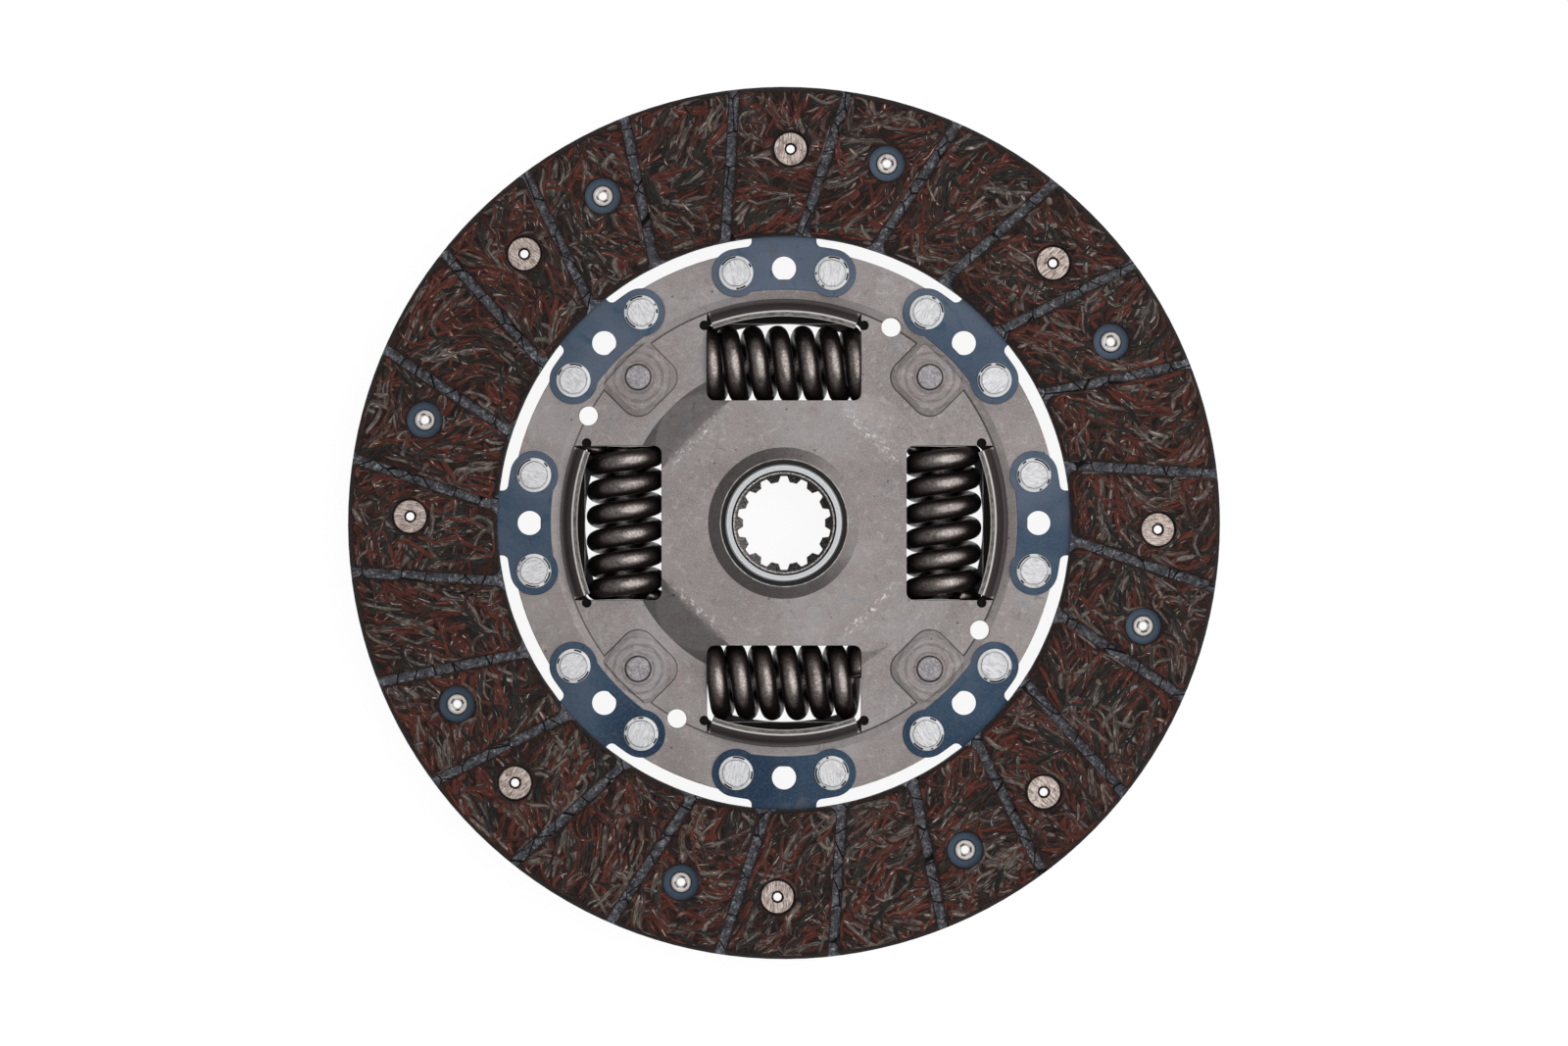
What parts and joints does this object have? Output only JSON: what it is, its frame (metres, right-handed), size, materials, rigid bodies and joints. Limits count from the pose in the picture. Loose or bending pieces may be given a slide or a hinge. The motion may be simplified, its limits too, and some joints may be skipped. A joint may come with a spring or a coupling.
{
  "type": "clutch disc",
  "caption": "Dry friction clutch disc with riveted facings on waved spring segments, a torsion damper with coil springs and a splined hub.",
  "frame": {"origin": "centre of the hub's rear end face, on the shaft axis", "axes": "+Z along the shaft axis, towards the side with the segment rivets and the carrier plate's collar; +X through the middle of one spring window"},
  "size_m": [0.228, 0.228, 0.0242],
  "materials": {
    "facing": "moulded friction compound with short visible fibres, rough",
    "segment": "blued spring steel, satin",
    "facing_rivet": "plain rolled steel, slightly warm",
    "segment_rivet": "bright steel, brushed tops",
    "plate": "pressed steel, satin, faintly mottled",
    "hub": "machined steel",
    "pin": "satin steel",
    "spring": "oiled spring steel, dark satin",
    "bush": "black filled plastic",
    "friction_washer": "friction compound",
    "washer": "plain sheet steel"
  },
  "bodies": {
    "hub": {"hub": "hub"},
    "disc": {"front_facing": "facing", "rear_facing": "facing", "cushion_segment_1": "segment", "cushion_segment_2": "segment", "cushion_segment_3": "segment", "cushion_segment_4": "segment", "cushion_segment_5": "segment", "cushion_segment_6": "segment", "cushion_segment_7": "segment", "cushion_segment_8": "segment", "front_facing_rivets": "facing_rivet", "rear_facing_rivets": "facing_rivet", "segment_rivets": "segment_rivet", "carrier_plate": "plate", "retainer_plate": "plate", "stop_pin_1": "pin", "stop_pin_2": "pin", "stop_pin_3": "pin", "stop_pin_4": "pin", "damper_spring_1": "spring", "damper_spring_2": "spring", "damper_spring_3": "spring", "damper_spring_4": "spring", "front_friction_bush": "bush", "rear_friction_washer": "friction_washer", "thrust_washer": "washer", "cone_spring": "washer"}
  },
  "joints": [
    {"name": "damper_twist", "type": "hinge", "parent": "hub", "child": "disc", "pos_m": [0, 0, 0.01375], "axis": [0, 0, 1], "range_deg": [-4, 4], "stiffness_Nm_per_rad": 150, "deforming": ["damper_spring_1", "damper_spring_2", "damper_spring_3", "damper_spring_4"]}
  ]
}
